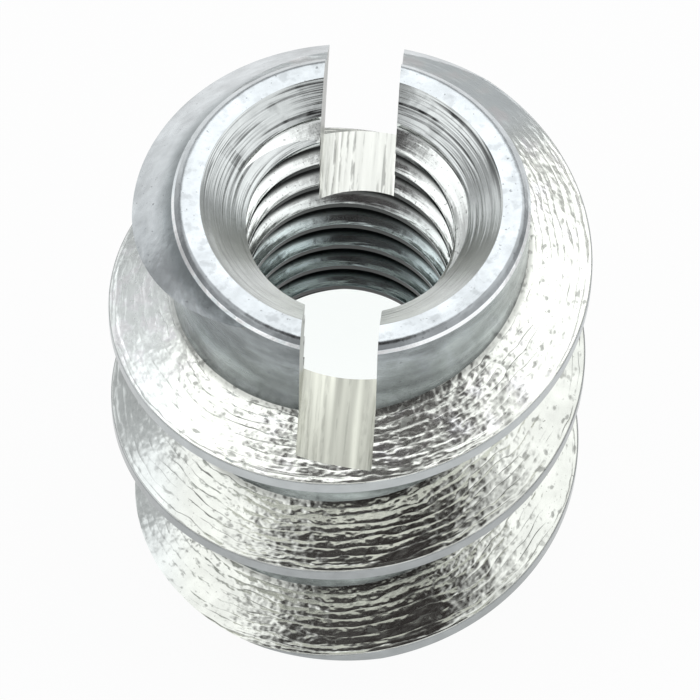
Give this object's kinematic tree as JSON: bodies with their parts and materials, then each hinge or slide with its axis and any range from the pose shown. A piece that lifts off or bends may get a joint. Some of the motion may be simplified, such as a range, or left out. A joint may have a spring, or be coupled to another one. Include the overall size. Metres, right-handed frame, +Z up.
{
  "type": "threaded insert",
  "caption": "Slotted self-tapping insert for wood, with a coarse outer thread, a countersunk mouth and a machine-threaded bore through its axis.",
  "frame": {"origin": "centre of the entering end's face, on the axis of the bore", "axes": "+Z runs up the bore's axis from the entering end to the slotted rim, and the driver slot runs along Y"},
  "size_m": [0.016, 0.016, 0.018],
  "materials": {
    "zinc_plated_steel": "bright zinc plating over turned steel, with tool marks on the outer thread's flanks"
  },
  "bodies": {
    "root": {"insert": "zinc_plated_steel"}
  },
  "joints": []
}
